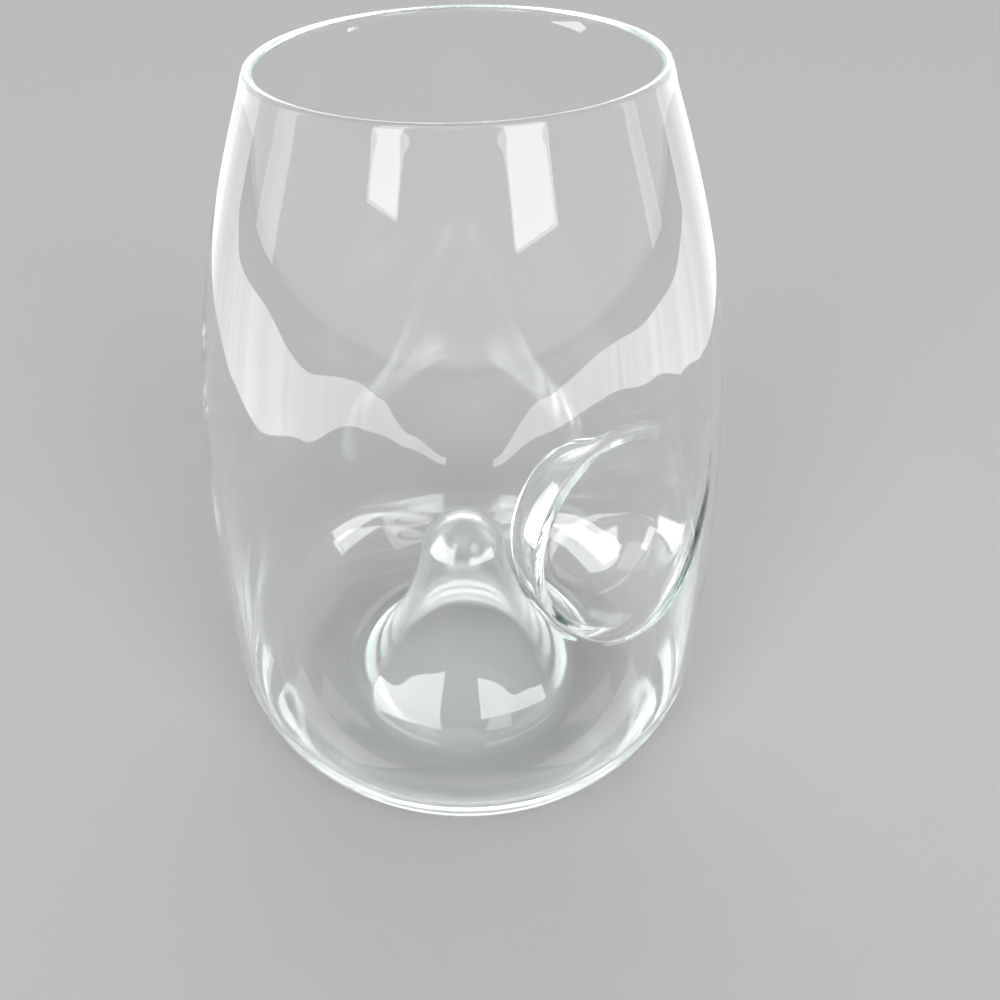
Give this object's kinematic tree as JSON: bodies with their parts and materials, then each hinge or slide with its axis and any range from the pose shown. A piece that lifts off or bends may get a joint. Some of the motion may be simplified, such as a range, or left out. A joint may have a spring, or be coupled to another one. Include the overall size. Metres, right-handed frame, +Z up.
{
  "type": "stemless wine glass",
  "caption": "Clear stemless wine glass, a barrel bowl narrowing to the mouth, with a thumb dent in its side and a tall hollow punt rising from the floor.",
  "frame": {"origin": "centre of the flat standing ring, on the surface that the glass stands on", "axes": "+Z up along the axis of the bowl. The thumb dent faces between +X and -Y, so it is front right for someone who looks along +Y."},
  "size_m": [0.0874, 0.0874, 0.12],
  "materials": {
    "clear_glass": "clear, smooth and fire polished, faintly green where it is thick"
  },
  "bodies": {
    "root": {"rim_bead": "clear_glass", "mouth_wall": "clear_glass", "shoulder_wall": "clear_glass", "belly_wall": "clear_glass", "thumb_dent": "clear_glass", "lower_wall": "clear_glass", "heel": "clear_glass", "foot_ring": "clear_glass", "punt_flare": "clear_glass", "punt_neck": "clear_glass", "punt_knob": "clear_glass"}
  },
  "joints": []
}
